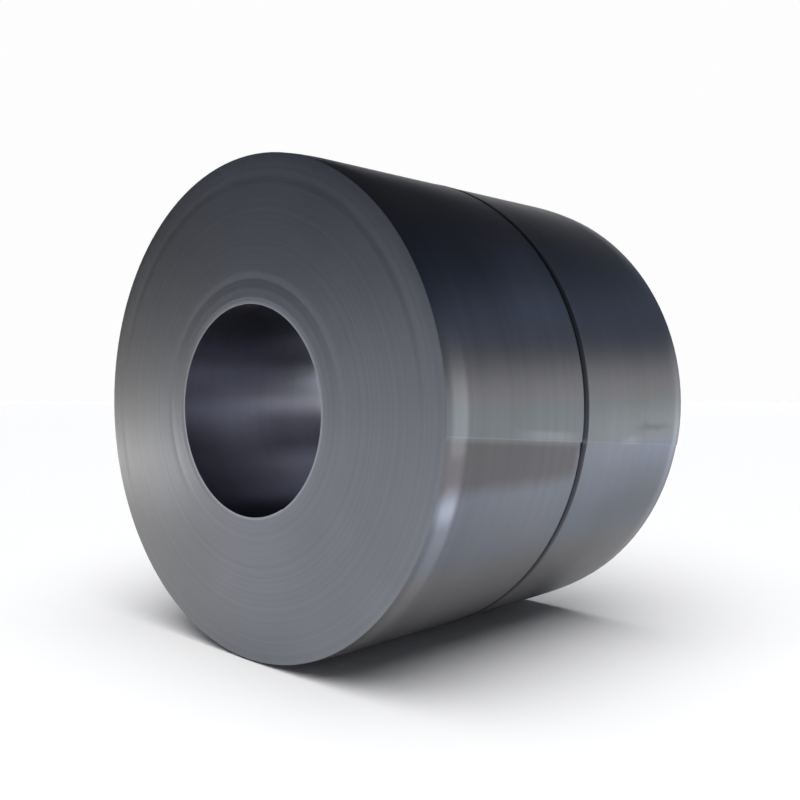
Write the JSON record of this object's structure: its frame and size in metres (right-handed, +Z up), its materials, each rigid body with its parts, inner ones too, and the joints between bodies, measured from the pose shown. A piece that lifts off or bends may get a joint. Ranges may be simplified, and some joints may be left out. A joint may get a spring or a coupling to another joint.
{
  "type": "steel coil",
  "caption": "Wound coil of dark steel strip lying on its side, with an open bore, a free outer end and a steel strap with a crimped seal round its middle.",
  "frame": {"origin": "middle of the bore", "axes": "+Y along the bore axis, +Z up as the coil lies, +X towards the free end of the outer turn"},
  "size_m": [1.8138, 1.5, 1.8122],
  "materials": {
    "strip_steel": "satin, dark mill surface",
    "strap_steel": "blued and waxed",
    "seal_steel": "bare, scuffed"
  },
  "bodies": {
    "root": {"coil": "strip_steel", "strap": "strap_steel", "strap_seal": "seal_steel"}
  },
  "joints": []
}
